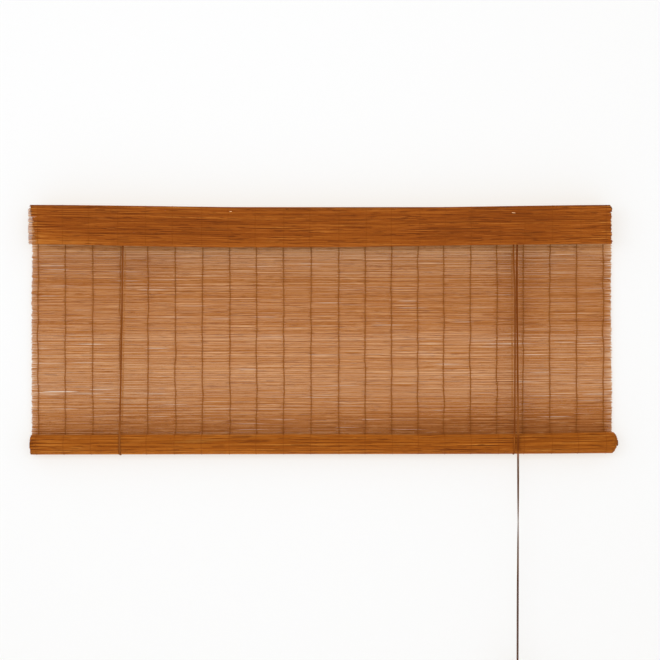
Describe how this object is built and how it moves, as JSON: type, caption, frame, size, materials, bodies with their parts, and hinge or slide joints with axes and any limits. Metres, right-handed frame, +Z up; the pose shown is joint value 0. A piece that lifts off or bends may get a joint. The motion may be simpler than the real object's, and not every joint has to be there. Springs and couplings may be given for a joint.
{
  "type": "bamboo roll up blind",
  "caption": "Roll-up window blind of bamboo sticks on threads, part rolled up, with a folded valance, head board, cord pulleys and a pull cord with a tassel.",
  "frame": {"origin": "middle of the two fixing holes, on the top face of the head board", "axes": "+Z up, +X to the right as seen from the room, -Y towards the room"},
  "size_m": [1.2134, 0.0655, 1.0565],
  "materials": {
    "bamboo_mat": "stained split bamboo, satin",
    "bamboo_valance": "stained split bamboo, satin",
    "board_wood": "planed softwood, stained",
    "rod_wood": "plain dowel",
    "lath_bamboo": "stained bamboo lath",
    "tassel_wood": "turned, stained and lacquered",
    "zinc_steel": "zinc plated",
    "brassed_steel": "brass plated",
    "nylon": "moulded, satin",
    "cord": "braided cord",
    "cord_tie": "braided cord"
  },
  "bodies": {
    "head": {"headboard": "board_wood", "hanging_batten": "board_wood", "batten_screws": "zinc_steel", "panel_mat": "bamboo_mat", "panel_staples": "zinc_steel", "valance_mat": "bamboo_valance", "valance_lath": "lath_bamboo", "lath_nails": "zinc_steel", "valance_staples": "zinc_steel", "left_pulley_frame": "zinc_steel", "left_pulley_pin": "zinc_steel", "right_pulley_frame": "zinc_steel", "right_pulley_pin": "zinc_steel", "pulley_screws": "brassed_steel", "left_cord_eye": "brassed_steel", "right_cord_eye": "brassed_steel", "left_eye_knot": "cord", "right_eye_knot": "cord", "left_cord_rear": "cord", "left_cord_front": "cord", "left_cord_run": "cord", "right_cord_rear": "cord", "right_cord_front": "cord", "right_cord_bend": "cord", "left_pull_strand": "cord", "right_pull_strand": "cord"},
    "left_roller": {"left_pulley_roller": "nylon"},
    "right_roller": {"right_pulley_roller": "nylon"},
    "slings": {"left_cord_sling": "cord", "right_cord_sling": "cord"},
    "roll": {"roll_mat": "bamboo_mat", "bottom_rod": "rod_wood"},
    "pull": {"cord_hank": "cord", "hank_tie": "cord_tie", "cord_tails": "cord", "cord_tassel": "tassel_wood", "tassel_knot": "cord"}
  },
  "joints": [
    {"name": "roll_lift", "type": "slide", "parent": "head", "child": "slings", "axis": [0, 0, 1], "range_m": [0, 0.42], "deforming": ["panel_mat", "left_cord_rear", "right_cord_rear", "left_cord_front", "right_cord_front"]},
    {"name": "roll_turn", "type": "hinge", "parent": "slings", "child": "roll", "pos_m": [0, -0.00345, -0.4867], "axis": [1, 0, 0.0033], "range_deg": [-1160, 0]},
    {"name": "left_roller_spin", "type": "hinge", "parent": "head", "child": "left_roller", "pos_m": [-0.403, -0.0274, -0.0255], "axis": [0, 1, 0], "continuous": true},
    {"name": "right_roller_spin", "type": "hinge", "parent": "head", "child": "right_roller", "pos_m": [0.3986, -0.0274, -0.0255], "axis": [0, 1, 0], "continuous": true},
    {"name": "cord_pull", "type": "slide", "parent": "head", "child": "pull", "axis": [0, 0, -1], "range_m": [0, 0.84], "deforming": ["left_pull_strand", "right_pull_strand"]}
  ],
  "couplings": [
    {"joint": "roll_turn", "follows": "roll_lift", "rad_per_m": -47.17},
    {"joint": "left_roller_spin", "follows": "roll_lift", "rad_per_m": 500},
    {"joint": "right_roller_spin", "follows": "roll_lift", "rad_per_m": 500},
    {"joint": "cord_pull", "follows": "roll_lift", "ratio": 2}
  ]
}
